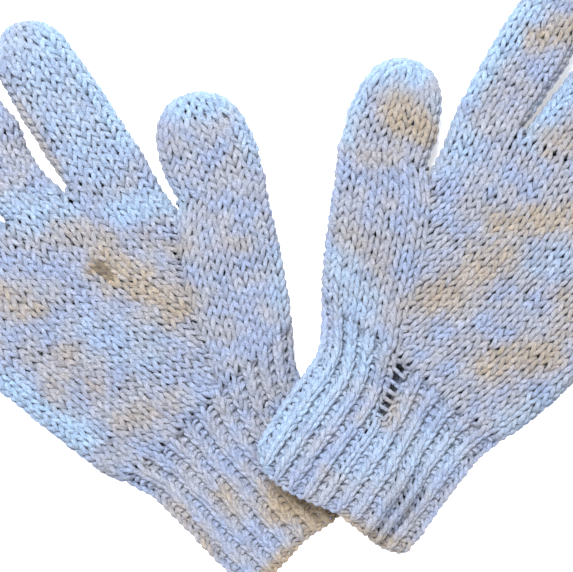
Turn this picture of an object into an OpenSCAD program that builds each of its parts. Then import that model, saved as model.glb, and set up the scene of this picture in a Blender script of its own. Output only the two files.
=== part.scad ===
// A pair of hand-knitted gloves lying flat, the right cuff over the left cuff.
// Every node is a hollow tube of knitted fabric. Millimetres, +Z up, table at z = 0.
// Each glove is drawn in its own flat frame: origin at the wrist, +Y to the fingers,
// thumb on +X, and then turned into place (the right glove is mirrored).

/* [Placing] */
// Left glove wrist centre, X
left_x = -44.04; // [-46:0.02:-42]
// Left glove wrist centre, Y
left_y = -51.89; // [-53:0.02:-51]
// Left glove turn, degrees
left_turn = 44; // [43:0.5:45]
// Right glove wrist centre, X
right_x = 50.16; // [49:0.02:52]
// Right glove wrist centre, Y
right_y = -37.69; // [-39:0.02:-37]
// Right glove turn, degrees
right_turn = -40; // [-41:0.5:-39]

/* [Fabric] */
// Thickness of one layer of knitted fabric
wall = 2.4; // [2:0.1:2.6]
// Free gap between pieces that bend against each other
gap = 0.3; // [0.3:0.05:0.5]
// Clear gap under the draped cuff
drape_gap = 0.5; // [0.4:0.1:1]

/* [Cuff] */
// Length of the ribbed cuff with its cast-on edge
cuff_length = 68; // [64:0.5:70]
// Height of the cuff lying flat
cuff_thick = 11; // [10.5:0.5:12]
// Length of the cast-on edge
edge_length = 3.4; // [3:0.2:5]
// How far the cast-on edge stands proud
edge_bulge = 0.6; // [0.2:0.1:1]

/* [Hand] */
// Height of the hand lying flat
hand_thick = 14; // [13:0.5:15]
// Width of the knitted web between two fingers
web_width = 4.4; // [3:0.2:5]

/* [Fingers] */
// Height of a finger lying flat
finger_thick = 13; // [12.5:0.5:13.5]
// Distance between neighbouring finger roots
finger_gap = 1.2; // [1:0.1:1.6]
// Index finger length
index_length = 65; // [62:0.5:68]
// Middle finger length
middle_length = 72; // [68:0.5:75]
// Ring finger length
ring_length = 66; // [63:0.5:69]
// Little finger length
little_length = 52; // [49:0.5:54]
// Part of a finger below its middle joint
finger_share = 0.46; // [0.42:0.01:0.5]

/* [Thumb] */
// Thumb length above the crotch
thumb_length = 39; // [37:0.5:41]
// Part of the thumb below its middle joint
thumb_share = 0.48; // [0.44:0.01:0.52]
// Thumb direction, degrees towards the thumb side
thumb_turn = 22; // [20:0.5:24]

/* [Hidden] */

// outlines of one glove in its own frame, [y, x]
cuff_in = [[-72, -34], [-55, -34.5], [-30, -34], [-12, -34], [-3, -36.5], [0, -37.5]];
cuff_out = [[-72, 35.5], [-57, 37.8], [-48, 39], [-35, 40], [-22, 41], [-15, 43.3],
  [-8, 48], [-3, 52.5], [0, 55.2]];
hand_in = [[0, -37.5], [8, -39.8], [25, -43.3], [45, -46.3], [61, -48.2], [98, -52.5]];
gusset_line = [[0, 15], [12.5, 22], [38, 33], [55, 44], [65, 54.5]];
gusset_out = [[0, 55.2], [3.5, 57.8], [12, 64], [21, 70], [31, 76.5], [40.6, 82],
  [51, 89.5]];
// finger crotches, little side to index side, [x, y]
crotch = [
  [[-52.5, 98], [-27, 104], [-0.5, 106], [24.7, 101.6], [60.5, 96.5]],
  [[-52.5, 97.5], [-25, 103.5], [4.5, 105.5], [34.5, 99.8], [62.5, 95.5]]];
// per glove and finger (index, middle, ring, little): turn, middle width, tip width
finger_shape = [
  [[11.5, 32.5, 29.5], [5.5, 27.5, 27], [-4, 26.5, 25.5], [-12.5, 24.5, 23]],
  [[6.5, 27.6, 27], [2.5, 28, 27], [-4.5, 27, 26], [-12.5, 25, 23.5]]];
finger_long = [index_length, middle_length, ring_length, little_length];
thumb_in = [54.5, 65];
thumb_out = [89.5, 51];
thumb_wide = [[39, 36], [36.5, 33]];

glove_x = [left_x, right_x];
glove_y = [left_y, right_y];
glove_turn = [left_turn, right_turn];
glove_flip = [1, -1];
drape = cuff_thick + edge_bulge + drape_gap;

function lerp(a, b, t) = a + (b - a) * t;
function ease(t) = let (c = max(0, min(1, t))) c * c * (3 - 2 * c);
function dir(a) = [sin(a), cos(a)];
function side(a) = [cos(a), -sin(a)];
function swap(line) = [for (p = line) [p[1], p[0]]];
function span(n) = [for (i = [0:n]) i / n];
function back(v) = [for (i = [len(v) - 1:-1:0]) v[i]];

// from a glove frame to the table and back
function to_table(p, g) = let (a = glove_turn[g], x = p[0] * glove_flip[g], y = p[1])
  [glove_x[g] + x * cos(a) - y * sin(a), glove_y[g] + x * sin(a) + y * cos(a)];
function to_glove(p, g) = let (a = glove_turn[g], x = p[0] - glove_x[g], y = p[1] - glove_y[g])
  [(x * cos(a) + y * sin(a)) * glove_flip[g], -x * sin(a) + y * cos(a)];

// how high the right cuff is carried by the left cuff under it
function carried(p) = let (q = to_glove(to_table(p, 1), 0),
  dx = max(0, q[0] - lookup(q[1], cuff_out)), dy = max(0, -cuff_length - q[1]),
  d = sqrt(dx * dx + dy * dy))
  drape * (1 - ease((d - 5) / 19));
function lift(p, g) = g == 1 && p[1] < 0 ? carried(p) * ease((-p[1] - 1) / 8) : 0;

// one flattened tube section: half width h, height t, rounded side depth a, inset w
function section(h, t, a, w, across, sides) =
  let (ai = w == 0 ? a : max(a - w + 1.2, 1.2), f = h - w - ai, b = t / 2 - w)
  concat(
    [for (p = across) [lerp(-f, f, p), w]],
    [for (k = [1:sides - 1]) let (q = -90 + 180 * k / sides)
      [f + ai * cos(q), t / 2 + b * sin(q)]],
    [for (p = back(across)) [lerp(-f, f, p), t - w]],
    [for (k = [1:sides - 1]) let (q = 90 + 180 * k / sides)
      [-f + ai * cos(q), t / 2 + b * sin(q)]]);

// the section set between two plan points
function ring(pl, pr, t, a, w, across, sides) =
  let (c = (pl + pr) / 2, v = pr - pl, h = norm(v) / 2, e = v / norm(v))
  [for (s = section(h, t, a, w, across, sides)) [c[0] + e[0] * s[0], c[1] + e[1] * s[0], s[1]]];

// a skin through an outer and an inner list of rings; closed = domed far end
module skin(outer, inner, closed) {
  n = len(outer[0]);
  m = len(outer);
  k = len(inner);
  base = n * m;
  points = concat([for (r = outer) for (p = r) p], [for (r = inner) for (p = r) p]);
  sides_out = [for (j = [0:m - 2]) for (i = [0:n - 1]) let (i2 = (i + 1) % n)
    each [[j * n + i, (j + 1) * n + i2, j * n + i2], [j * n + i, (j + 1) * n + i, (j + 1) * n + i2]]];
  sides_in = [for (j = [0:k - 2]) for (i = [0:n - 1]) let (i2 = (i + 1) % n)
    each [[base + j * n + i, base + j * n + i2, base + (j + 1) * n + i2],
      [base + j * n + i, base + (j + 1) * n + i2, base + (j + 1) * n + i]]];
  mouth = [for (i = [0:n - 1]) let (i2 = (i + 1) % n)
    each [[i, i2, base + i2], [i, base + i2, base + i]]];
  o = (m - 1) * n;
  q = base + (k - 1) * n;
  end = closed
    ? [[for (i = [n - 1:-1:0]) o + i], [for (i = [0:n - 1]) q + i]]
    : [for (i = [0:n - 1]) let (i2 = (i + 1) % n)
        each [[o + i, q + i2, o + i2], [o + i, q + i, q + i2]]];
  polyhedron(points, [for (f = concat(sides_out, sides_in, mouth, end)) back(f)], convexity = 8);
}

module place(g) {
  translate([glove_x[g], glove_y[g], 0]) rotate(glove_turn[g])
    if (g == 1) mirror([1, 0, 0]) children();
    else children();
}

/* ribbed cuff and its cast-on edge */
cuff_across = span(9);
function cuff_ring(y, g, w, grow) = let (t = lerp(cuff_thick, hand_thick, ease((y + 16) / 16)) + grow,
  r = ring([lookup(y, cuff_in) - grow, y], [lookup(y, cuff_out) + grow, y], t, 4.6, w,
    cuff_across, 4))
  [for (p = r) [p[0], p[1], p[2] + lift(p, g)]];

module cuff(g) {
  stations = [for (i = [0:15]) lerp(edge_length - cuff_length, -gap / 2, i / 15)];
  place(g) skin([for (y = stations) cuff_ring(y, g, 0, 0)],
    [for (y = stations) cuff_ring(y, g, wall, 0)], false);
}

module cast_on_edge(g) {
  stations = [[-cuff_length, 0.5], [0.4 * edge_length - cuff_length, 1],
    [0.75 * edge_length - cuff_length, 0.8], [edge_length - cuff_length, 0]];
  place(g) skin([for (s = stations) cuff_ring(s[0], g, 0, s[1] * edge_bulge)],
    [for (s = stations) cuff_ring(s[0], g, wall, 0)], false);
}

/* hand: a shell to the finger roots, opened along the gusset line */
function hand_fractions(g) = let (c = crotch[g], l = c[0][0], r = c[4][0])
  concat([0.075], [for (i = [1:3]) for (q = i == 1 ? [0.5, 1] : [0.5, 1])
    (lerp(c[i - 1][0], c[i][0], q) - l) / (r - l)],
    [(lerp(c[3][0], c[4][0], 0.5) - l) / (r - l), 0.925]);
function hand_edge(y, g) = y <= 65
  ? lookup(y, gusset_line) + 12 * ease((65 - y) / 10)
  : lerp(thumb_in[0], crotch[g][4][0], pow((y - 65) / (crotch[g][4][1] - 65), 0.8));

function hand_ring(v, g, w) = let (c = crotch[g],
  yl = lerp(gap / 2, c[0][1], v), yr = lerp(gap / 2, c[4][1], v),
  pl = [lookup(yl, hand_in), yl], pr = [hand_edge(yr, g), yr],
  bow = ease((v - 0.45) / 0.55),
  h = norm(pr - pl) / 2, mid = (pl + pr) / 2, e = (pr - pl) / norm(pr - pl),
  t = lerp(hand_thick, finger_thick, ease((v - 0.7) / 0.3)),
  a = lerp(5.5, 3, ease((v - 0.8) / 0.2)))
  [for (s = section(h, t, a, w, [for (f = hand_fractions(g)) (f - 0.075) / 0.85], 4))
    let (f = (s[0] / h + 1) / 2, x = lerp(c[0][0], c[4][0], f),
      dy = lookup(x, c) - lerp(c[0][1], c[4][1], f))
    [mid[0] + e[0] * s[0], mid[1] + e[1] * s[0] + bow * dy, s[1]]];

module gusset_side(g) {
  linear_extrude(height = 60, center = true)
    polygon(concat(swap(gusset_line), [[160, 65], [160, -20], [lookup(0, gusset_line) - 3, -20]]));
}

module web(g, i) {
  c = crotch[g][i];
  translate([c[0], c[1] - 2.6, 0.8]) linear_extrude(height = finger_thick - 1.6)
    scale([web_width / 2, 2.3]) circle(1, $fn = 12);
}

module hand(g) {
  stations = span(16);
  place(g) {
    difference() {
      skin([for (v = stations) hand_ring(v, g, 0)], [for (v = stations) hand_ring(v, g, wall)], false);
      gusset_side(g);
    }
    for (i = [1:3]) web(g, i);
  }
}

/* thumb gusset: from the wrist to the thumb root, opened to the hand */
function gusset_ring(v, w) = let (yl = lerp(gap / 2, thumb_in[1], v), yr = lerp(gap / 2, thumb_out[1], v),
  pl = [lookup(yl, gusset_line) - 12 * ease((1 - v) / 0.16), yl], pr = [lookup(yr, gusset_out), yr],
  t = lerp(hand_thick, finger_thick, ease((v - 0.7) / 0.3)))
  ring(pl, pr, t, lerp(5.5, 4, v), w, span(5), 4);

module thumb_gusset(g) {
  stations = span(11);
  place(g) intersection() {
    skin([for (v = stations) gusset_ring(v, 0)], [for (v = stations) gusset_ring(v, wall)], false);
    union() {
      gusset_side(g);
      translate([40, 64.9, -30]) cube([80, 40, 60]);
    }
  }
}

/* fingers and thumb: from a straight root between two plan points */
function digit_ring(c, root, turn, s, h, t, a, w) = let (b = lerp(root, turn, ease(s / 12)),
  m = c + dir(turn) * s, r = side(b))
  [for (q = section(h, t, a, w, span(3), 4)) [m[0] + r[0] * q[0], m[1] + r[1] * q[0], q[1]]];
function digit_half(s, long, wide) = let (m = long * 0.45, e = long - wide[2] / 2)
  s < m ? lerp(wide[0], wide[1], s / m) / 2 : lerp(wide[1], wide[2], min(1, (s - m) / (e - m))) / 2;
function digit_side(s) = lerp(3, 5.6, ease(s / 14));

module digit_lower(c, root, turn, long, wide, cut) {
  stations = [for (i = [0:4]) lerp(gap, cut - gap / 2, i / 4)];
  function r(s, w) = digit_ring(c, root, turn, s, digit_half(s, long, wide), finger_thick,
    digit_side(s), w);
  skin([for (s = stations) r(s, 0)], [for (s = stations) r(s, wall)], false);
}

module digit_tip(c, root, turn, long, wide, cut) {
  r0 = wide[2] / 2;
  tube = [for (i = [0:3]) lerp(cut + gap / 2, long - r0, i / 3)];
  dome = [22, 42, 59, 72, 82];
  function d(q, w) = let (k = (r0 - w) / r0, t = finger_thick * (1 - 0.42 * (1 - cos(q))))
    [for (p = digit_ring(c, root, turn, long - r0 + (r0 - w) * sin(q), r0 * cos(q) * k + w, t,
      min(5.6, r0 * cos(q) * k * 0.62 + w * 0.5), w))
      [p[0], p[1], p[2] + (finger_thick - t) / 2]];
  function r(s, w) = digit_ring(c, root, turn, s, digit_half(s, long, wide), finger_thick,
    digit_side(s), w);
  skin(concat([for (s = tube) r(s, 0)], [for (q = dome) d(q, 0)]),
    concat([for (s = tube) r(s, wall)], [for (q = dome) d(q, wall)]), true);
}

// one finger: i = 0 index, 1 middle, 2 ring, 3 little
module finger(g, i, tip) {
  p = crotch[g][3 - i];
  q = crotch[g][4 - i];
  root = atan2(p[1] - q[1], q[0] - p[0]);
  shape = finger_shape[g][i];
  wide = [norm(q - p) - finger_gap, shape[1], shape[2]];
  long = finger_long[i];
  c = (p + q) / 2 + dir(root) * 0;
  place(g)
    if (tip) digit_tip(c, root, shape[0], long, wide, long * finger_share);
    else digit_lower(c, root, shape[0], long, wide, long * finger_share);
}

module thumb(g, tip) {
  root = atan2(thumb_in[1] - thumb_out[1], thumb_out[0] - thumb_in[0]);
  wide = [norm(thumb_out - thumb_in) - 0.4, thumb_wide[g][0], thumb_wide[g][1]];
  c = (thumb_in + thumb_out) / 2;
  place(g)
    if (tip) digit_tip(c, root, thumb_turn, thumb_length, wide, thumb_length * thumb_share);
    else digit_lower(c, root, thumb_turn, thumb_length, wide, thumb_length * thumb_share);
}

/* one module per node */
module left_cast_on_edge() { color("#b9c0d6") cast_on_edge(0); }
module left_cuff() { color("#a9b1ca") cuff(0); }
module left_hand() { color("#b3bad0") hand(0); }
module left_thumb_gusset() { color("#a3acc8") thumb_gusset(0); }
module left_thumb_lower() { color("#b9c0d6") thumb(0, false); }
module left_thumb_tip() { color("#aec0d8") thumb(0, true); }
module left_index_lower() { color("#a9b1ca") finger(0, 0, false); }
module left_index_tip() { color("#aec0d8") finger(0, 0, true); }
module left_middle_lower() { color("#b9c0d6") finger(0, 1, false); }
module left_middle_tip() { color("#a9b8d2") finger(0, 1, true); }
module left_ring_lower() { color("#a9b1ca") finger(0, 2, false); }
module left_ring_tip() { color("#aec0d8") finger(0, 2, true); }
module left_little_lower() { color("#b9c0d6") finger(0, 3, false); }
module left_little_tip() { color("#a9b8d2") finger(0, 3, true); }
module right_cast_on_edge() { color("#c1c8dc") cast_on_edge(1); }
module right_cuff() { color("#afb8d0") cuff(1); }
module right_hand() { color("#b8bfd4") hand(1); }
module right_thumb_gusset() { color("#a8b1cc") thumb_gusset(1); }
module right_thumb_lower() { color("#b9c0d6") thumb(1, false); }
module right_thumb_tip() { color("#bdb9b4") thumb(1, true); }
module right_index_lower() { color("#a9b1ca") finger(1, 0, false); }
module right_index_tip() { color("#bdb9b4") finger(1, 0, true); }
module right_middle_lower() { color("#b9c0d6") finger(1, 1, false); }
module right_middle_tip() { color("#a9b8d2") finger(1, 1, true); }
module right_ring_lower() { color("#a9b1ca") finger(1, 2, false); }
module right_ring_tip() { color("#aec0d8") finger(1, 2, true); }
module right_little_lower() { color("#b9c0d6") finger(1, 3, false); }
module right_little_tip() { color("#a9b8d2") finger(1, 3, true); }

left_cast_on_edge();
left_cuff();
left_hand();
left_thumb_gusset();
left_thumb_lower();
left_thumb_tip();
left_index_lower();
left_index_tip();
left_middle_lower();
left_middle_tip();
left_ring_lower();
left_ring_tip();
left_little_lower();
left_little_tip();
right_cast_on_edge();
right_cuff();
right_hand();
right_thumb_gusset();
right_thumb_lower();
right_thumb_tip();
right_index_lower();
right_index_tip();
right_middle_lower();
right_middle_tip();
right_ring_lower();
right_ring_tip();
right_little_lower();
right_little_tip();
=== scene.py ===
"""A pair of hand-knitted gloves, worked stitch by stitch as yarn around the frame's tubes."""

import math
import random

import bmesh
import bpy
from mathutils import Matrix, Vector, noise


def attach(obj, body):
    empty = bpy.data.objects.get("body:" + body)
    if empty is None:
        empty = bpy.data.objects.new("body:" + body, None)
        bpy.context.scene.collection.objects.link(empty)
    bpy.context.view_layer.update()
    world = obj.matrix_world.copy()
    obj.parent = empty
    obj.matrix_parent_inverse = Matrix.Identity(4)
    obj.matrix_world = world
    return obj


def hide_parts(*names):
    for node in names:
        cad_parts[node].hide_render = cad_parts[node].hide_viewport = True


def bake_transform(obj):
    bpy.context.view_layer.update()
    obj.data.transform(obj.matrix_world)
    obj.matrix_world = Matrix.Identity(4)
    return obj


bl_info = {
    "name": "Knitted gloves",
    "version": (1, 0, 0),
    "blender": (4, 5, 0),
    "location": "View3D > Sidebar > Gloves",
    "description": "Knits a pair of gloves, course by course, over their frame",
    "category": "Add Mesh",
}

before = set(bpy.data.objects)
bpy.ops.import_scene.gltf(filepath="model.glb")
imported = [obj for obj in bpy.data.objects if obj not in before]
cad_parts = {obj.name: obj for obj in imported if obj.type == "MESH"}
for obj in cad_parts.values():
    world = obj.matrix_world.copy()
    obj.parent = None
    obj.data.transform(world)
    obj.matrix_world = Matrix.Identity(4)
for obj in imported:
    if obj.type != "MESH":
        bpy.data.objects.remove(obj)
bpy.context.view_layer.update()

# ---------------------------------------------------------------- sizes, in millimetres
# Each glove is laid out flat in its own frame: origin at the wrist, +Y to the fingers,
# thumb on +X. The right glove is mirrored, and both are turned into place.
SIDES = ("left", "right")
PLACE = {
    "left": {"x": -44.04, "y": -51.89, "turn": 44.0, "flip": 1},
    "right": {"x": 50.16, "y": -37.69, "turn": -40.0, "flip": -1},
}
CUFF_LENGTH = 68.0
RIM = 1.6  # height of the cast-on edge, below the first course of ribbing
CUFF_THICK = 11.0
HAND_THICK = 14.0
FINGER_THICK = 13.0
EDGE_BULGE = 0.6
DRAPE = CUFF_THICK + EDGE_BULGE + 0.5
CUFF_IN = {
    "left": ((-72, -34), (-55, -34.5), (-30, -34.5), (-12, -35), (-3, -37.8), (0, -39.2)),
    "right": ((-72, -38.6), (-60, -39.4), (-45, -38.6), (-30, -37.6), (-12, -37), (-3, -38.3),
              (0, -39)),
}
# the mouth isn't cut straight: how far each edge reaches, from one side to the other
MOUTH = {
    "left": ((-40, -64), (-34, -66.5), (-26, -67.6), (-4, -67.4), (4, -68.3), (12, -69.3),
             (26, -69.3), (32, -68), (38, -65)),
    "right": ((-40, -60), (-36, -62), (-30, -63.4), (-17, -62), (-5, -63), (3, -65.5),
              (13, -67.6), (22, -69.5), (29, -69), (33, -66.5), (38, -63)),
}
CUFF_OUT = {
    "left": ((-72, 34), (-57, 36.8), (-48, 38.5), (-35, 40), (-22, 41), (-15, 43.3), (-8, 48),
             (-3, 52.5), (0, 55.2)),
    "right": ((-72, 35.5), (-57, 37.8), (-48, 39), (-35, 40), (-22, 41), (-15, 43.3), (-8, 48),
              (-3, 52.5), (0, 55.2)),
}
HAND_IN = {
    "left": ((0, -39.2), (8, -42.6), (25, -45), (45, -47.4), (61, -49.5), (98, -53.3)),
    "right": ((0, -39), (8, -41.6), (25, -45), (45, -47), (61, -49), (98, -53)),
}
# the palm's wales run on as if it had no thumb, to this edge under the gusset
HAND_OUT = ((0, 63.5), (20, 59.5), (45, 55.0), (60, 52.8), (68, 53.2), (76, 55), (98, 61.5))
GUSSET_LINE = ((0, 15), (12.5, 22), (38, 33), (55, 44), (65, 54.5))
GUSSET_OUT = ((0, 55.2), (3.5, 57.8), (12, 64), (21, 70), (31, 76.5), (40.6, 82), (51, 89.5))
CROTCH = {
    "left": ((-52.5, 98), (-27, 104), (-0.5, 105), (26.0, 98.2), (60.5, 96.5)),
    "right": ((-52.5, 97.5), (-25, 103.5), (4.5, 105.5), (34.5, 99.8), (62.5, 95.5)),
}
FINGERS = ("index", "middle", "ring", "little")
LENGTHS = {"index": 66.0, "middle": 72.0, "ring": 66.0, "little": 52.0}
FINGER_SHARE = 0.46
# turn from straight, width in the middle, width at the tip
SHAPE = {
    "left": {"index": (11, 34, 32.2), "middle": (6.2, 30, 28.2), "ring": (-4, 26.5, 25.5),
             "little": (-12.5, 24.5, 23), "thumb": (22.6, 40, 38.6)},
    "right": {"index": (8, 31, 29.4), "middle": (2.5, 28, 27), "ring": (-4.5, 27, 26),
              "little": (-12.5, 25, 23.5), "thumb": (22, 38.2, 35)},
}
# one finger is drawn in beside the crotch
WAIST = {("left", "middle"): 3.4}
THUMB_IN, THUMB_OUT = (54.5, 65.0), (89.5, 51.0)
THUMB_LENGTH, THUMB_SHARE = 38.6, 0.48
FINGER_GAP = 1.2
THUMB_TRIM = 2.0
CROWN_ARC = 1.36  # way over a crown, for each unit of its radius
CROWN_THIN = 0.42  # how much of its thickness a crown loses at the end
# the middle of the wrist, and how far a bend reaches there, at a root and at a middle
WRIST_X, WRIST_BEND, ROOT_BEND, MIDDLE_BEND = 8.85, 24, 13, 12

# stitch counts around each tube
CUFF_STITCHES, HAND_STITCHES, GUSSET_STITCHES = 44, 48, 18
TUBE_STITCHES = {"thumb": 17, "index": 15, "middle": 14, "ring": 13, "little": 12}

# where the variegated yarn turns another colour, and, in some streaks, painted shade: from, to,
# half width, strength
TAN_AND_SHADE = {
    # on the left cuff, the streaks from (3, -50) and from (-34, -67) are painted warm shade: under
    # the right cuff, and along the cast-on edge
    "left": (((13, 90), (26, 73), 5.5, 0.6), ((17, 68), (26, 37), 9, 1.0),
             ((37, 63), (43, 51), 4, 0.45), ((-22, 88), (-16, 74), 6, 0.75),
             ((-21, 54), (-20, 35), 6, 0.55), ((-21, 17), (-4, 11), 5.5, 0.55),
             ((-12, -31), (-14, -37), 5.5, 0.65), ((3, -50), (12, -66), 12, 1.2),
             ((-34, -67), (26, -68), 3.4, 1.1), ((28, 104), (36, 136), 2.4, 0.55),
             ((33, -48), (36, -68), 5, 0.7),
             ((-31, -23), (-33, -45), 5, 0.6), ((48, 48), (67, 30), 4.5, 0.3),
             ((-30, 60), (-34, 40), 4, 0.4), ((-25, 150), (-18, 140), 8, 0.5)),
    "right": (((79, 74), (67, 75), 9.5, 1.0), ((78, 54), (70, 64), 6.5, 0.45),
              ((18, 66), (-3, 87), 7, 0.95), ((20, 25), (10, 57), 11, 0.75),
              ((-13, 20), (-30, 38), 8, 0.9), ((55, 132), (45, 144), 6.5, 0.85),
              ((52, 104), (49, 109), 6, 0.4), ((24, 104), (17, 111), 8, 0.65),
              ((58, 27), (46, 23), 9, 0.4), ((-20, 59), (-31, 49), 8, 0.6),
              # this streak and the first on the next line are painted warm shade, along the cuff's
              # mouth and round its corner
              ((-8, -63.5), (-34, -62), 4, 0.9),
              ((-30, -62), (-38, -54), 4.5, 0.8), ((4, -17), (1, -24), 3.5, 0.6),
              ((-30, 130), (-38, 120), 8, 0.6)),
}
BLUE = {
    "left": (((60, 98), (68, 160), 8, 1.0), ((45, 100), (56, 160), 13, 0.55),
             ((84, 92), (96, 84), 9, 1.0), ((36, 80), (54, 68), 7, 0.8),
             ((-46, 60), (-38, 25), 8, 0.9), ((5, 108), (20, 96), 9, 0.7),
             ((58, 8), (72, 24), 6, 0.5), ((98, 78), (90, 56), 5, 0.6),
             ((-5, 52), (5, 30), 9, 0.4), ((-2, 150), (8, 172), 9, 0.7)),
    "right": (((84, 93), (96, 80), 8, 1.0), ((62, 100), (67, 150), 7, 1.0),
              ((50, 78), (62, 84), 10, 0.65), ((30, 100), (31, 128), 5, 0.9),
              ((30, -10), (34, -62), 12, 0.75), ((0, -40), (-20, -20), 14, 0.5),
              ((96, 72), (88, 54), 5, 0.7), ((-36, 6), (-44, 30), 6, 0.5),
              ((40, 4), (56, 12), 9, 0.6), ((8, -24), (0, -34), 4, 0.6),
              ((2, 60), (-12, 72), 8, 0.4)),
}
# mostly painted shade: the dark spot in the left palm's dent, the shade the right cuff casts on
# the left one, and a dark band along the left cast-on edge
BROWN_AND_SHADE = {
    "left": (((13.2, 69.5), (15, 62.5), 3, 1.8), ((5, -52), (13, -67), 9, 1.0),
             ((-34, -68), (2, -68.5), 2.6, 0.9)),
    "right": (((18, 26), (14, 34), 4.5, 0.3), ((76, 73), (70, 76), 4, 0.35)),
}
# where the knitting is drawn in: middle, reach, depth
DENTS = {"left": (14.5, 64.5, 4.5, 1.6), "right": (14, 33, 6, 0.8)}
# a dropped stitch ran down the right cuff and left loose rungs: where it crosses, how far
LADDER_X, LADDER_Y, LADDER_FAINT_Y = 11.0, -25.0, -50.0

SEGMENTS = 12  # points along one stitch
HAIRS = 0.08  # chance of a loose fibre at each point along the yarn
MM = 0.001  # a millimetre in the frame, which is in metres


# ---------------------------------------------------------------- small helpers
def lerp(a, b, t):
    return a + (b - a) * t


def ease(t):
    t = min(max(t, 0.0), 1.0)
    return t * t * (3 - 2 * t)


def lookup(x, line):
    if x <= line[0][0]:
        return line[0][1]
    for (x0, y0), (x1, y1) in zip(line, line[1:]):
        if x <= x1:
            return y0 + (y1 - y0) * (x - x0) / (x1 - x0)
    return line[-1][1]


def heading(turn):
    a = math.radians(turn)
    return Vector((math.sin(a), math.cos(a)))


def crosswise(turn):
    a = math.radians(turn)
    return Vector((math.cos(a), -math.sin(a)))


def to_table(side, x, y):
    p = PLACE[side]
    a = math.radians(p["turn"])
    x *= p["flip"]
    return (p["x"] + x * math.cos(a) - y * math.sin(a), p["y"] + x * math.sin(a) + y * math.cos(a))


def to_glove(side, x, y):
    p = PLACE[side]
    a = math.radians(p["turn"])
    x, y = x - p["x"], y - p["y"]
    return (x * math.cos(a) + y * math.sin(a)) * p["flip"], -x * math.sin(a) + y * math.cos(a)


def lift(side, x, y):
    """How high the left cuff carries the right one at a point of the right glove."""
    if side == "left" or y >= 0:
        return 0.0
    qx, qy = to_glove("left", *to_table("right", x, y))
    far = math.hypot(max(0, qx - lookup(qy, CUFF_OUT["left"])), max(0, -CUFF_LENGTH - qy))
    return DRAPE * (1 - ease((far - 5) / 19)) * ease((-y - 1) / 8)


def linear(colour):
    """An sRGB hex colour as the linear one that shaders take."""
    parts = [int(colour[i:i + 2], 16) / 255 for i in (1, 3, 5)]
    return [c / 12.92 if c <= 0.04045 else ((c + 0.055) / 1.055) ** 2.4 for c in parts] + [1.0]


def near(patches, x, y):
    """How strongly the listed streaks reach a point, 0 to about 1."""
    most = 0.0
    for (x0, y0), (x1, y1), wide, strength in patches:
        dx, dy = x1 - x0, y1 - y0
        t = min(max(((x - x0) * dx + (y - y0) * dy) / (dx * dx + dy * dy), 0.0), 1.0)
        far = math.hypot(x - x0 - dx * t, y - y0 - dy * t) / wide
        if far < 1.6:
            most = max(most, strength * (1 - ease((far - 0.1) / 1.5)))
    return most


# ---------------------------------------------------------------- surfaces to knit on
def closed_section(f, h, a, b):
    """A point of a flattened tube, f from 0 to 1: left edge, over the top, right edge, back."""
    arc = math.pi * math.sqrt((a * a + b * b) / 2)
    flat = 2 * (h - a)
    d = (f % 1.0) * 2 * (arc + flat)
    if d < arc / 2:
        q = math.pi - d / arc * math.pi
        return a - h + a * math.cos(q), b * math.sin(q)
    d -= arc / 2
    if d < flat:
        return a - h + d, b
    d -= flat
    if d < arc:
        q = math.pi / 2 - d / arc * math.pi
        return h - a + a * math.cos(q), b * math.sin(q)
    d -= arc
    if d < flat:
        return h - a - d, -b
    d -= flat
    q = -math.pi / 2 - d / arc * math.pi
    return a - h + a * math.cos(q), b * math.sin(q)


def open_section(f, h, a, b):
    """The same, but open at the left: top from the left end, right edge, back underneath."""
    arc = math.pi * math.sqrt((a * a + b * b) / 2)
    flat = 2 * h - a
    d = f * (2 * flat + arc)
    if d < flat:
        return d - h, b
    d -= flat
    if d < arc:
        q = math.pi / 2 - d / arc * math.pi
        return h - a + a * math.cos(q), b * math.sin(q)
    return h - a - (d - arc), -b


def surface(side, ends, inset, section=closed_section, crown=0.0):
    """place(f, v): the middle of the fabric, f around the tube and v rows along it."""
    def place(f, v):
        left, right, thick, depth, bow = ends(v)
        span = right - left
        h = span.length / 2 - inset
        b = thick / 2 - inset
        a = min(max(depth - inset * 0.4, 1.2), h * 0.95)
        x, z = section(f, h, a, b)
        across = min(max(x / h, -1.3), 1.3)
        if crown and b > 0:
            z += crown * (1 - across * across) * (0.5 + 0.5 * z / b)
        p = (left + right) / 2 + span * (x / span.length)
        px, py = p.x, p.y + (bow(across) if bow else 0.0)
        z += thick / 2 + lift(side, px, py)
        swell = noise.noise(Vector((px / 17, py / 17, 3.1 if side == "left" else 8.7)))
        if z > thick / 2:
            dx, dy, reach, deep = DENTS[side]
            z += 0.9 * swell - deep * math.exp(-((px - dx) ** 2 + (py - dy) ** 2) / reach ** 2)
        return Vector((px, py, z))
    return place


def off_surface(place, f, v, out, df, dv):
    """The point out from the surface along its normal."""
    p = place(f, v)
    along = place(f, v + dv) - place(f, v - dv)
    around = place(f + df, v) - place(f - df, v)
    n = around.cross(along)
    if n.length > 1e-9:
        n.normalize()
    return p + n * out


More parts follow.
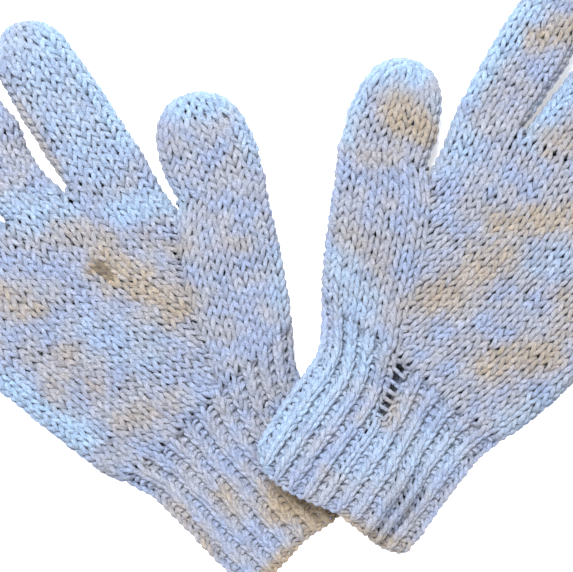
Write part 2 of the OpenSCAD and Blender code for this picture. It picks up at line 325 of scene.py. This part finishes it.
# ---------------------------------------------------------------- knitting
class Knit:
    """Collects the yarn of one piece and turns it into a mesh."""

    def __init__(self, name, side, radius):
        self.name, self.side, self.radius = name, side, radius
        self.runs, self.hairs = [], HAIRS
        self.random = random.Random(name)

    def strand(self, points, cyclic, scale=1.0, painted_shades=None, scales=None):
        count = len(points)
        self.runs.append((points, cyclic, painted_shades or [0.3] * count,
                          [scale * k for k in scales or [1.0] * count]))

    def row(self, place, v, stitches, look, first=None, last=None):
        """One course. first and last, in stitches, leave it open; otherwise it closes."""
        closed = first is None
        start, stop = (0.0, float(stitches)) if closed else (first, last)
        steps = max(int(round((stop - start) * SEGMENTS)), 4)
        rnd = self.random
        jitter = {}
        out, painted_shades, scales = [], [], []
        drift = rnd.uniform(-0.08, 0.08)
        lean, tall, depth = look["lean"], look["tall"], look["depth"]
        raised, loose_at = look.get("rib", 0), look.get("loose")
        for k in range(steps if closed else steps + 1):
            s = start + (stop - start) * k / steps
            i = math.floor(s + 0.5)
            key = i % stitches if closed else i
            if key not in jitter:
                jitter[key] = (rnd.uniform(-0.28, 0.28), rnd.uniform(-0.2, 0.2),
                               rnd.uniform(-0.22, 0.22), rnd.uniform(-0.3, 0.3),
                               rnd.uniform(-0.5, 0.5), rnd.uniform(0.9, 1.12))
            ja, jx, jy, jz, jt, js = jitter[key]
            t = 2 * math.pi * s
            head = (1 + math.cos(t)) / 2
            loose = loose_at(s, v) if loose_at else 0.0
            tight = 1 - loose
            x = s + tight * (lean * (1 + ja) * math.sin(2 * t) + look["slant"] * math.cos(t)
                             + jx * head * 0.6)
            y = v + tall * math.cos(t) * tight + jy * head * tight
            y += 0.1 * math.sin(s * 0.7 + v) + drift
            front = -math.cos(2 * t)
            z = depth * front + (look["twist"] + 0.35 * jt) * math.sin(t)
            if raised:
                sign = 1 if key % 2 == 0 else -1
                z = sign * (raised + z) - (0.1 if sign < 0 else 0.0)
                front *= sign
            z = z * tight - 0.7 * loose + jz * head
            if not closed:
                z -= look.get("tuck", 1.6) * (1 - ease(min(s - start, stop - s) / 0.9))
            out.append(off_surface(place, x / stitches, y, z, 0.2 / stitches, 0.2))
            # painted shade: the yarn is coloured darker where a stitch dips back between its
            # neighbours; on the ribbed cuff this is halved and raised, so the whole cuff is
            # painted lighter
            painted_shades.append(front * 0.5 + 0.85 if raised else front)
            scales.append(js * (1 - 0.12 * loose) * (1 + 0.07 * front))
        self.strand(out, closed, look.get("thick", 1.0), painted_shades, scales)

    def tubes(self, runs, resolution):
        """A mesh of round tubes along the runs, with the colours, their painted shade and the
        running length kept.
        """
        curve = bpy.data.curves.new(self.name, "CURVE")
        curve.dimensions = "3D"
        curve.bevel_depth = self.radius * MM
        curve.bevel_resolution = resolution
        around = 4 + 2 * resolution
        dyes_and_shades, lengths = [], []
        for points, cyclic, dye_and_shade, radii, length in runs:
            spline = curve.splines.new("POLY")
            spline.points.add(len(points) - 1)
            spline.use_cyclic_u = cyclic
            flat = []
            for p, thick in zip(points, radii):
                x, y = to_table(self.side, p.x, p.y)
                # the table stops what would hang lower
                flat += [x * MM, y * MM, max(p.z, self.radius * thick) * MM, 1.0]
            spline.points.foreach_set("co", flat)
            spline.points.foreach_set("radius", radii)
            dyes_and_shades += dye_and_shade
            lengths += length
        holder = bpy.data.objects.new(self.name, curve)
        bpy.context.collection.objects.link(holder)
        bpy.context.view_layer.update()
        mesh = bpy.data.meshes.new_from_object(
            holder.evaluated_get(bpy.context.evaluated_depsgraph_get()))
        bpy.data.objects.remove(holder)
        bpy.data.curves.remove(curve)
        if len(mesh.vertices) != len(dyes_and_shades) * around:
            raise RuntimeError(f"{self.name}: yarn mesh has {len(mesh.vertices)} points")
        dye_and_shade = mesh.attributes.new("dye_and_shade", "FLOAT_COLOR", "POINT")
        dye_and_shade.data.foreach_set("color", [c for d in dyes_and_shades for _ in range(around) for c in d])
        run = mesh.attributes.new("run", "FLOAT", "POINT")
        run.data.foreach_set("value", [v for v in lengths for _ in range(around)])
        work = bmesh.new()
        work.from_mesh(mesh)
        bmesh.ops.holes_fill(work, edges=[e for e in work.edges if e.is_boundary], sides=0)
        bmesh.ops.recalc_face_normals(work, faces=work.faces)
        work.to_mesh(mesh)
        work.free()
        mesh.shade_smooth()
        mesh.materials.append(yarn_material())
        piece = bpy.data.objects.new(self.name, mesh)
        bpy.context.collection.objects.link(piece)
        return piece

    def finish(self):
        """Makes the yarn's mesh, and the loose fibres that stand off it."""
        seed = 11.0 if self.side == "left" else 47.0
        yarn, hairs = [], []
        for number, (points, cyclic, painted_shades, scales) in enumerate(self.runs):
            radii, dyes_and_shades, lengths, run = [], [], [], 0.0
            for i, p in enumerate(points):
                if i:
                    run += (p - points[i - 1]).length
                radii.append(scales[i] * (1 + 0.12 * noise.noise(
                    Vector((run / 3, number * 3.7, seed)))))
                dyes_and_shades.append(self.dye_and_shade(p, run, number, seed, painted_shades[i]))
                lengths.append(run)
                if self.random.random() < self.hairs and p.z > 3.5:
                    hairs.append(self.hair(p, dyes_and_shades[-1], run))
            yarn.append((points, cyclic, dyes_and_shades, radii, lengths))
        piece = self.tubes(yarn, 1)
        fuzz = self.tubes(hairs, 0)
        with bpy.context.temp_override(active_object=piece, object=piece,
                                       selected_editable_objects=[piece, fuzz]):
            bpy.ops.object.join()
        return piece

    def hair(self, p, dye_and_shade, run):
        """One loose fibre: rooted in the yarn, bending away from it."""
        rnd = self.random
        a, up = rnd.uniform(0, 2 * math.pi), rnd.uniform(0.15, 1.0)
        out = Vector((math.cos(a), math.sin(a), up)).normalized()
        bend = Vector((rnd.uniform(-1, 1), rnd.uniform(-1, 1), rnd.uniform(-0.9, 0.2)))
        long = rnd.uniform(1.2, 2.6)
        points = [p + out * self.radius * 0.7, p + out * (self.radius + long * 0.45),
                  p + out * (self.radius + long * 0.75) + bend * long * 0.35]
        pale = (dye_and_shade[0], dye_and_shade[1], dye_and_shade[2], min(dye_and_shade[3] + 0.2, 1.0))
        return points, False, [pale] * 3, [0.07, 0.055, 0.025], [run] * 3

    def dye_and_shade(self, p, run, number, seed, front):
        """Tan, blue, brown and lightness of the yarn at a point, each 0 to 1; painted shade is in
        the lightness, and partly in the tan and brown.
        """
        wander = noise.noise(Vector((run / 7, number * 1.3, seed)))
        if p.z > 5.2 or self.side == "right" and lift(self.side, p.x, p.y) > 1:
            x = p.x + 3.0 * noise.noise(Vector((p.x / 8, p.y / 8, seed)))
            y = p.y + 2.5 * noise.noise(Vector((p.x / 8, p.y / 8, seed + 9)))
            # tan and brown carry the yarn's colours and, in places, painted shade
            tan_and_shade = near(TAN_AND_SHADE[self.side], x, y)
            blue = near(BLUE[self.side], x, y)
            brown_and_shade = near(BROWN_AND_SHADE[self.side], x, y)
        else:
            tan_and_shade = 1.3 * max(0, noise.noise(Vector((p.x / 24, p.y / 15, seed + 3))) - 0.12)
            blue = 1.1 * max(0, noise.noise(Vector((p.x / 26, p.y / 17, seed + 5))))
            brown_and_shade = 0.0
        tan_and_shade = min(max(tan_and_shade * (1 + 0.7 * wander) + 0.16 * noise.noise(
            Vector((p.x / 13, p.y / 7, seed + 1))), 0), 1)
        blue = min(max(blue * (1 + 0.5 * wander) + 0.2 * noise.noise(
            Vector((p.x / 16, p.y / 6, seed + 2))), 0), 1)
        light = 0.5 + 0.3 * noise.noise(Vector((run / 2.5, number * 2.1, seed + 7)))
        # painted shade: darker where the yarn lies back between the stitches, and darker still
        # where the brown is strongest, in the left palm's dent and a little in the right cuff's
        # shadow on the left cuff
        light += 0.18 * front - 1.6 * max(brown_and_shade - 0.95, 0)
        return tan_and_shade, blue, min(brown_and_shade, 1.0), min(max(light, 0.0), 1.0)


DENSE = {"lean": 0.24, "tall": 1.1, "depth": 0.95, "slant": 0.04, "twist": 0.12, "thick": 1.15}
PLAIN = {"lean": 0.265, "tall": 0.98, "depth": 1.2, "slant": 0.04, "twist": 0.15}


def add_node(tree, kind, settings=None, **inputs):
    """Adds a node with its settings; an input is a value, or an output to link."""
    node = tree.nodes.new(kind)
    for key, value in (settings or {}).items():
        setattr(node, key, value)
    for key, value in inputs.items():
        socket = node.inputs[int(key[1:]) if key[0] == "i" and key[1:].isdigit()
                             else key.replace("_", " ")]
        if isinstance(value, bpy.types.NodeSocket):
            tree.links.new(value, socket)
        else:
            socket.default_value = value
    return node


def yarn_material():
    """Worsted wool blend, loosely plied: matte, hairy, dyed in long uneven lengths, with shade
    painted into its colour.
    """
    made = bpy.data.materials.get("variegated_wool_yarn")
    if made:
        return made
    look = bpy.context.scene.glove_colours
    mat = bpy.data.materials.new("variegated_wool_yarn")
    mat.use_nodes = True
    tree = mat.node_tree
    shader = tree.nodes["Principled BSDF"]
    where = add_node(tree, "ShaderNodeTexCoord").outputs["Object"]
    dye_and_shade = add_node(tree, "ShaderNodeAttribute", {"attribute_name": "dye_and_shade"})
    parts = add_node(tree, "ShaderNodeSeparateColor", Color=dye_and_shade.outputs["Color"])
    # heathered fibres: flecks about a millimetre long
    fleck = add_node(tree, "ShaderNodeTexNoise", Vector=where, Scale=1500.0, Detail=3.0,
                     Roughness=0.75)
    cloud = add_node(tree, "ShaderNodeTexNoise", Vector=where, Scale=85.0, Detail=2.0)

    patches = add_node(tree, "ShaderNodeMapRange", Value=cloud.outputs["Fac"], From_Min=0.4,
                       From_Max=0.62)
    # each colour is laid over the ones before it; oatmeal and bark also carry painted shade
    tone = look.lavender
    for colour, amount in ((look.periwinkle, patches.outputs["Result"]),
                           (look.ice, parts.outputs["Green"]),
                           (look.oatmeal_and_shade, parts.outputs["Red"]),
                           (look.bark_and_shade, parts.outputs["Blue"])):
        tone = add_node(tree, "ShaderNodeMix", {"data_type": "RGBA"}, i0=amount, i6=tone,
                        i7=colour).outputs[2]
    # fibres lie along the yarn in long turns, lighter and darker
    uv = add_node(tree, "ShaderNodeUVMap", {"uv_map": "UVMap"})
    turn = add_node(tree, "ShaderNodeSeparateXYZ", Vector=uv.outputs["UV"])
    run = add_node(tree, "ShaderNodeAttribute", {"attribute_name": "run"})
    twist = add_node(tree, "ShaderNodeMath", {"operation": "MULTIPLY_ADD"},
                     i0=run.outputs["Fac"], i1=0.22, i2=turn.outputs["Y"])
    laid = add_node(tree, "ShaderNodeCombineXYZ", X=run.outputs["Fac"], Y=twist.outputs[0])
    stretched = add_node(tree, "ShaderNodeMapping", Vector=laid.outputs["Vector"],
                         Scale=(0.8, 9.0, 1.0))
    strand = add_node(tree, "ShaderNodeTexNoise", Vector=stretched.outputs["Vector"], Scale=1.0,
                      Detail=3.0, Roughness=0.7)
    # painted shade, darker between the stitches; flecked, and streaked along the yarn
    for value, low, high, darkest, palest in (
            (dye_and_shade.outputs["Alpha"], 0.2, 0.8, 0.56, 1.24),
            (fleck.outputs["Fac"], 0.32, 0.68, 0.68, 1.32),
            (strand.outputs["Fac"], 0.32, 0.68, 0.76, 1.24)):
        share = add_node(tree, "ShaderNodeMapRange", Value=value, From_Min=low, From_Max=high,
                         To_Min=darkest, To_Max=palest)
        tone = add_node(tree, "ShaderNodeMix", {"data_type": "RGBA", "blend_type": "MULTIPLY"},
                        i0=1.0, i6=tone, i7=share.outputs["Result"]).outputs[2]
    tree.links.new(tone, shader.inputs["Base Color"])
    # two plies twisted together, one turn in about 4 mm, and the fibres on them
    along = add_node(tree, "ShaderNodeMath", {"operation": "MULTIPLY"}, i0=run.outputs["Fac"],
                     i1=2 * math.pi / 4.0)
    round_it = add_node(tree, "ShaderNodeMath", {"operation": "MULTIPLY_ADD"},
                        i0=turn.outputs["Y"], i1=4 * math.pi, i2=along.outputs[0])
    ply = add_node(tree, "ShaderNodeMath", {"operation": "SINE"}, i0=round_it.outputs[0])
    fibre = add_node(tree, "ShaderNodeTexNoise", Vector=where, Scale=1500.0, Detail=2.0)
    height = add_node(tree, "ShaderNodeMath", {"operation": "MULTIPLY_ADD"},
                      i0=fibre.outputs["Fac"], i1=3.0, i2=ply.outputs[0])
    height = add_node(tree, "ShaderNodeMath", {"operation": "MULTIPLY_ADD"},
                      i0=strand.outputs["Fac"], i1=2.0, i2=height.outputs[0])
    bump = add_node(tree, "ShaderNodeBump", Strength=0.75, Distance=0.00022,
                    Height=height.outputs[0])
    tree.links.new(bump.outputs["Normal"], shader.inputs["Normal"])
    shader.inputs["Roughness"].default_value = 0.92
    shader.inputs["Specular IOR Level"].default_value = 0.25
    shader.inputs["Sheen Weight"].default_value = 0.35
    shader.inputs["Sheen Roughness"].default_value = 0.45
    shader.inputs["Sheen Tint"].default_value = look.fuzz
    return mat


def done(piece, nodes, body, blend=None):
    """Hides the frame parts a finished piece stands for, and attaches it to its body or bakes it
    in place.
    """
    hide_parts(*nodes)
    if blend:
        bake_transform(piece)
    else:
        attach(piece, body)


def in_frame(side, x, y, z):
    tx, ty = to_table(side, x, y)
    return tx * MM, ty * MM, z * MM


# ---------------------------------------------------------------- the pieces
def cuff_rows():
    return bpy.context.scene.glove_knit.cuff_rows


def cuff_y(v):
    return -CUFF_LENGTH + RIM + v * (CUFF_LENGTH - RIM) / cuff_rows()


def cuff_surface(side, inset):
    def ends(v):
        y = cuff_y(v)
        t = lerp(CUFF_THICK, HAND_THICK, ease((y + 16) / 16))
        low, high = lookup(y, CUFF_IN[side]), lookup(y, CUFF_OUT[side])

        def bow(across):
            reach = lookup(lerp(low, high, (across + 1) / 2), MOUTH[side])
            return (reach + CUFF_LENGTH) * (max(-y, 0) / CUFF_LENGTH) ** 1.5
        return Vector((low, y)), Vector((high, y)), t, 4.6, bow
    return surface(side, ends, inset)


def knit_cuff(side):
    size = bpy.context.scene.glove_knit
    place = cuff_surface(side, 2.5)
    knit = Knit(f"{side}_ribbed_cuff", side, size.yarn / MM / 2 * 0.98)
    look = {"lean": 0.27, "tall": 1.0, "depth": 0.85, "rib": 0.65, "slant": 0.08, "twist": 0.3}
    rows = cuff_rows()
    if side == "right":
        mid = (LADDER_Y / 2 + CUFF_LENGTH - RIM) * rows / (CUFF_LENGTH - RIM)
        column = min(range(0, CUFF_STITCHES // 2, 2),
                     key=lambda k: abs(place(k / CUFF_STITCHES, mid).x - LADDER_X))

        def loose(s, v):
            y = cuff_y(v)
            if y < LADDER_FAINT_Y:
                return 0.0
            fade = 1.0 if y > LADDER_Y else 0.35
            return fade * (1 - ease((abs(s % CUFF_STITCHES - column) - 0.62) / 0.5))

        look["loose"] = loose
    for j in range(rows):
        knit.row(place, j + 0.5, CUFF_STITCHES, look)
    done(knit.finish(), [f"{side}_cuff"], f"{side}_cuff")


def knit_cast_on(side):
    """The cast-on edge: two strands laid round each other in long turns."""
    size = bpy.context.scene.glove_knit
    place = cuff_surface(side, 2.2)
    knit = Knit(f"{side}_cast_on_edge_yarn", side, size.yarn / MM / 2 * 0.84)
    knit.hairs = 2.5 * HAIRS
    per_stitch = 10
    for strand in (0, 1):
        points = []
        for k in range(CUFF_STITCHES * per_stitch):
            s = k / per_stitch
            q = math.pi * s + math.pi * strand
            v = 0.1 + 0.17 * math.cos(q) + 0.05 * math.sin(s * 1.9)
            points.append(off_surface(place, (s + 0.1 * math.sin(q)) / CUFF_STITCHES, v,
                                      0.55 * math.sin(q) - 0.3, 0.2 / CUFF_STITCHES, 0.1))
        knit.strand(points, True)
    done(knit.finish(), [f"{side}_cast_on_edge"], f"{side}_cuff")


def wrist_bend(side):
    """Cuff body, hand body, and where the bend between them starts and ends."""
    return (f"{side}_cuff", f"{side}_hand", in_frame(side, WRIST_X, 0, HAND_THICK / 2),
            in_frame(side, WRIST_X, WRIST_BEND, HAND_THICK / 2))


def hand_surface(side, inset):
    rows = bpy.context.scene.glove_knit.hand_rows
    crotch = CROTCH[side]
    low, high = crotch[0], crotch[4]

    def ends(v):
        q = v / rows
        yl, yr = low[1] * q, high[1] * q
        left = Vector((lookup(yl, HAND_IN[side]), yl))
        xr = lookup(yr, HAND_OUT)
        if yr > 65:
            xr += (high[0] - 61) * (yr - 65) / (high[1] - 65)
        right = Vector((xr, yr))
        t = lerp(HAND_THICK, FINGER_THICK, ease((q - 0.7) / 0.3))

        def bow(across):
            x = lerp(low[0], high[0], (across + 1) / 2)
            return (lookup(x, crotch) - lerp(low[1], high[1], (across + 1) / 2)) * q * q
        return left, right, t, 5.5, bow
    return surface(side, ends, inset, crown=0.9)


def knit_hand(side):
    size = bpy.context.scene.glove_knit
    place = hand_surface(side, 2.0)
    knit = Knit(f"{side}_hand_knit", side, size.yarn / MM / 2)
    n, rows = HAND_STITCHES, size.hand_rows

    def beyond(s, v):
        p = place(s / n, v)
        return p.x - lookup(p.y, GUSSET_LINE)

    for j in range(rows):
        v = j + 0.5
        # below the thumb a course stops at the gusset line, on the palm and on the back
        over = [s / 8 for s in range(8, n * 8) if beyond(s / 8, v) > 0]
        if over and place(0.5, v).y < THUMB_IN[1] + 1:
            knit.row(place, v, n, PLAIN, over[-1] - n + 0.1, over[0] - 0.1)
        else:
            knit.row(place, v, n, PLAIN)
    # the few stitches that close the crotch between two fingers
    for x, y in CROTCH[side][1:4]:
        for k in range(4):
            points = []
            for i in range(13):
                q = math.pi * i / 12
                points.append(Vector((x + (k - 1.5) * 1.1 + 0.5 * math.sin(3 * q),
                                      y - 1.6 + 1.9 * math.sin(q) + 0.3 * (k % 2),
                                      FINGER_THICK / 2 + 4.6 * math.cos(q))))
            knit.strand(points, False, 0.95)
    done(knit.finish(), [f"{side}_hand"], None, wrist_bend(side))


def knit_gusset(side):
    size = bpy.context.scene.glove_knit
    rows = THUMB_IN[1] / CROTCH[side][0][1] * size.hand_rows

    def ends(v):
        q = v / rows
        yl, yr = THUMB_IN[1] * q, THUMB_OUT[1] * q
        left = Vector((lookup(yl, GUSSET_LINE) - 2.0, yl))
        right = Vector((lookup(yr, GUSSET_OUT), yr))
        return left, right, lerp(HAND_THICK, FINGER_THICK, ease((q - 0.7) / 0.3)), 5.5, None

    place = surface(side, ends, 2.0, open_section, crown=0.7)
    knit = Knit(f"{side}_thumb_gusset_knit", side, size.yarn / MM / 2)
    count = round(rows)
    for j in range(count):
        knit.row(place, (j + 0.5) * rows / count, GUSSET_STITCHES, PLAIN, 0.0,
                 float(GUSSET_STITCHES))
    done(knit.finish(), [f"{side}_thumb_gusset"], None, wrist_bend(side))


def knit_digit(side, name):
    """A finger or thumb: its lower half and its tip, closed by gathering the last stitches."""
    size = bpy.context.scene.glove_knit
    if name == "thumb":
        p, q = THUMB_IN, THUMB_OUT
        long, share, trim = THUMB_LENGTH, THUMB_SHARE, THUMB_TRIM
    else:
        i = FINGERS.index(name)
        p, q = CROTCH[side][3 - i], CROTCH[side][4 - i]
        long, share, trim = LENGTHS[name], FINGER_SHARE, FINGER_GAP
    turn, middle, tip = SHAPE[side][name]
    waist = WAIST.get((side, name), 0.0)
    root_turn = math.degrees(math.atan2(p[1] - q[1], q[0] - p[0]))
    centre = (Vector(p) + Vector(q)) / 2
    root = (Vector(q) - Vector(p)).length - trim
    radius = tip / 2
    straight = long - radius
    row = size.row_height / MM
    total = (straight + radius * CROWN_ARC) / row

    def crown_turn(d):
        """How far round the crown a point is, from 0 where it starts."""
        return (d - straight) / (radius * CROWN_ARC) * math.pi / 2

    def ends(v):
        d = v * row
        k = min(max(d / straight, 0), 1)
        wide = lerp(root, middle, k / 0.6) if k < 0.6 else lerp(middle, tip, (k - 0.6) / 0.4)
        thick = FINGER_THICK
        reach = d
        if d > straight:
            a = min(crown_turn(d), math.pi / 2)
            reach = straight + radius * math.sin(a)
            wide = max(tip * math.cos(a) ** 0.8, 5.0)
            thick = FINGER_THICK * (1 - CROWN_THIN * (1 - math.cos(a)))
        heading_now = lerp(root_turn, turn, ease(d / 12))
        c = centre + heading(turn) * reach
        r = crosswise(heading_now)
        nip = waist * math.sin(math.pi * min(max(d / 34, 0), 1))
        depth = lerp(3, 5.8, ease(d / 14))
        return c - r * (wide / 2), c + r * (wide / 2 - nip), thick, depth, None

    def place(f, v):
        point = base(f, v)
        d = v * row
        if d > straight:
            a = min(crown_turn(d), math.pi / 2)
            point.z += FINGER_THICK * CROWN_THIN * (1 - math.cos(a)) / 2
        return point

    base = surface(side, ends, 2.0, crown=0.5)
    cut = long * share
    n = TUBE_STITCHES[name]
    lower = Knit(f"{side}_{name}_lower_knit", side, size.yarn / MM / 2)
    upper = Knit(f"{side}_{name}_tip_knit", side, size.yarn / MM / 2)
    for j in range(int(total + 0.25)):
        v = j + 0.25
        d = v * row
        count = n
        if d > straight:
            count = max(int(round(n * (0.25 + 0.75 * math.cos(crown_turn(d))))), 6)
        (lower if d < cut else upper).row(place, v, count, DENSE if count < n else PLAIN)
    # the last stitches drawn together, and the yarn end through them
    end_v = total - 0.35
    points = [off_surface(place, k / 12, end_v + 0.15 * (k % 2), 0.1, 0.02, 0.1)
              for k in range(12)]
    upper.strand(points, True, 0.9)
    c = centre + heading(turn) * (long - 2.2)
    r = crosswise(turn)
    points = []
    for k in range(10):
        spot = c + r * (1.5 * math.cos(k) * (1 - k / 16)) + heading(turn) * (0.5 - k / 30)
        points.append(Vector((*spot, FINGER_THICK / 2 + 1.5 * math.sin(k))))
    upper.strand(points, False, 0.9)
    z = FINGER_THICK / 2
    start, end = centre, centre + heading(root_turn) * ROOT_BEND
    done(lower.finish(), [f"{side}_{name}_lower"], None,
         (f"{side}_hand", f"{side}_{name}_lower", in_frame(side, *start, z),
          in_frame(side, *end, z)))
    start = centre + heading(turn) * cut
    end = centre + heading(turn) * (cut + MIDDLE_BEND)
    done(upper.finish(), [f"{side}_{name}_tip"], None,
         (f"{side}_{name}_lower", f"{side}_{name}_tip", in_frame(side, *start, z),
          in_frame(side, *end, z)))


# ---------------------------------------------------------------- the add-on
class GLOVE_PG_knit(bpy.types.PropertyGroup):
    yarn: bpy.props.FloatProperty(
        name="Yarn", description="Thickness of the yarn", default=0.00197, min=0.0018,
        max=0.0023, precision=5, subtype="DISTANCE", unit="LENGTH")
    row_height: bpy.props.FloatProperty(
        name="Row height", description="Height of one row of the fingers", default=0.0037,
        min=0.0034, max=0.004, precision=5, subtype="DISTANCE", unit="LENGTH")
    cuff_rows: bpy.props.IntProperty(name="Cuff rows", description="Rows in the ribbed cuff",
                                     default=18, min=16, max=20)
    hand_rows: bpy.props.IntProperty(name="Hand rows", description="Rows from wrist to fingers",
                                     default=26, min=24, max=28)


def colour_property(name, description, colour):
    return bpy.props.FloatVectorProperty(name=name, description=description, subtype="COLOR",
                                         size=4, min=0, max=1, default=linear(colour))


class GLOVE_PG_colours(bpy.types.PropertyGroup):
    lavender: colour_property("Lavender", "Yarn's main grey-lilac", "#797b82")
    periwinkle: colour_property("Periwinkle", "Yarn's bluer lengths", "#6f798e")
    ice: colour_property("Ice", "Palest blue lengths", "#758a9f")
    # also the painted warm shade along the cuffs' mouths and under the right cuff
    oatmeal_and_shade: colour_property("Oatmeal", "Tan lengths", "#7e7466")
    # mostly painted shade: the dark dent in the left palm and the shade around the left cuff's
    # mouth
    bark_and_shade: colour_property("Bark", "Darkest brown lengths", "#7d6f5a")
    fuzz: colour_property("Fuzz", "Tint of the loose fibres", "#e8eefb")
    floor: colour_property("Floor", "Matte white table", "#fbfbfc")


class Gloves(bpy.types.Operator):
    """Shared by the knitting operators"""
    bl_options = {"REGISTER"}
    make = None

    def execute(self, context):
        for side in SIDES:
            type(self).make(side)
        return {"FINISHED"}


class GLOVE_OT_cuffs(Gloves):
    """Knits both ribbed cuffs"""
    bl_idname = "glove.cuffs"
    bl_label = "Ribbed cuffs"
    make = staticmethod(knit_cuff)


class GLOVE_OT_cast_on(Gloves):
    """Makes the cast-on edges of both cuffs"""
    bl_idname = "glove.cast_on"
    bl_label = "Cast-on edges"
    make = staticmethod(knit_cast_on)


class GLOVE_OT_hands(Gloves):
    """Knits both hands up to the finger crotches"""
    bl_idname = "glove.hands"
    bl_label = "Hands"
    make = staticmethod(knit_hand)


class GLOVE_OT_gussets(Gloves):
    """Knits both thumb gussets"""
    bl_idname = "glove.gussets"
    bl_label = "Thumb gussets"
    make = staticmethod(knit_gusset)


class GLOVE_OT_thumbs(Gloves):
    """Knits both thumbs"""
    bl_idname = "glove.thumbs"
    bl_label = "Thumbs"
    make = staticmethod(lambda side: knit_digit(side, "thumb"))


class GLOVE_OT_fingers(bpy.types.Operator):
    """Knits the four fingers of both gloves"""
    bl_idname = "glove.fingers"
    bl_label = "Fingers"

    def execute(self, context):
        for side in SIDES:
            for name in FINGERS:
                knit_digit(side, name)
        return {"FINISHED"}


class GLOVE_OT_stage(bpy.types.Operator):
    """Lays the white table and sets soft daylight and the camera straight above"""
    bl_idname = "glove.stage"
    bl_label = "Table, light and camera"

    def execute(self, context):
        look = context.scene.glove_colours
        work = bmesh.new()
        bmesh.ops.create_grid(work, x_segments=1, y_segments=1, size=1.5)
        mesh = bpy.data.meshes.new("table")
        work.to_mesh(mesh)
        work.free()
        table = bpy.data.objects.new("table", mesh)
        context.collection.objects.link(table)
        table.location.z = -0.0004
        mat = bpy.data.materials.new("matte_white_table")
        mat.use_nodes = True
        shader = mat.node_tree.nodes["Principled BSDF"]
        shader.inputs["Base Color"].default_value = look.floor
        shader.inputs["Roughness"].default_value = 0.9
        # lit through from beneath, so shadows on it stay faint
        shader.inputs["Emission Color"].default_value = look.floor
        shader.inputs["Emission Strength"].default_value = 0.45
        mesh.materials.append(mat)
        world = bpy.data.worlds.new("daylight")
        context.scene.world = world
        world.use_nodes = True
        sky = world.node_tree.nodes["Background"]
        sky.inputs["Color"].default_value = linear("#eef3ff")
        sky.inputs["Strength"].default_value = 1.0
        # colours as they are dyed, not toned for film
        context.scene.view_settings.view_transform = "Standard"
        for name, place, size, power, tint in (
                ("window", (-0.35, 0.8, 1.3), 0.6, 58, "#f6f8ff"),
                ("fill", (0.6, -0.5, 1.0), 0.7, 8, "#fff2e6")):
            light = bpy.data.lights.new(name, "AREA")
            light.size = size
            light.energy = power
            light.color = linear(tint)[:3]
            lamp = bpy.data.objects.new(name, light)
            lamp.location = place
            lamp.rotation_euler = (-Vector(place)).to_track_quat("-Z", "Y").to_euler()
            context.collection.objects.link(lamp)
        lens = bpy.data.cameras.new("camera")
        lens.lens = 85
        camera = bpy.data.objects.new("camera", lens)
        camera.location = (-0.0063, 0.0, 0.553)
        context.collection.objects.link(camera)
        context.scene.camera = camera
        return {"FINISHED"}


class GLOVE_PT_panel(bpy.types.Panel):
    """The gloves' sizes, colours and steps"""
    bl_label = "Knitted gloves"
    bl_space_type = "VIEW_3D"
    bl_region_type = "UI"
    bl_category = "Gloves"

    def draw(self, context):
        for group in (context.scene.glove_knit, context.scene.glove_colours):
            for key in group.bl_rna.properties.keys():
                if key not in {"rna_type", "name"}:
                    self.layout.prop(group, key)
        for step in STEPS:
            self.layout.operator(step.bl_idname)


STEPS = (GLOVE_OT_stage, GLOVE_OT_cuffs, GLOVE_OT_cast_on, GLOVE_OT_hands, GLOVE_OT_gussets,
         GLOVE_OT_thumbs, GLOVE_OT_fingers)
CLASSES = (GLOVE_PG_knit, GLOVE_PG_colours, *STEPS, GLOVE_PT_panel)


def register():
    for cls in CLASSES:
        bpy.utils.register_class(cls)
    bpy.types.Scene.glove_knit = bpy.props.PointerProperty(type=GLOVE_PG_knit)
    bpy.types.Scene.glove_colours = bpy.props.PointerProperty(type=GLOVE_PG_colours)


def unregister():
    del bpy.types.Scene.glove_knit
    del bpy.types.Scene.glove_colours
    for cls in reversed(CLASSES):
        bpy.utils.unregister_class(cls)


def main():
    register()
    for step in STEPS:
        getattr(bpy.ops.glove, step.bl_idname.split(".")[1])()


if __name__ == "__main__":
    main()
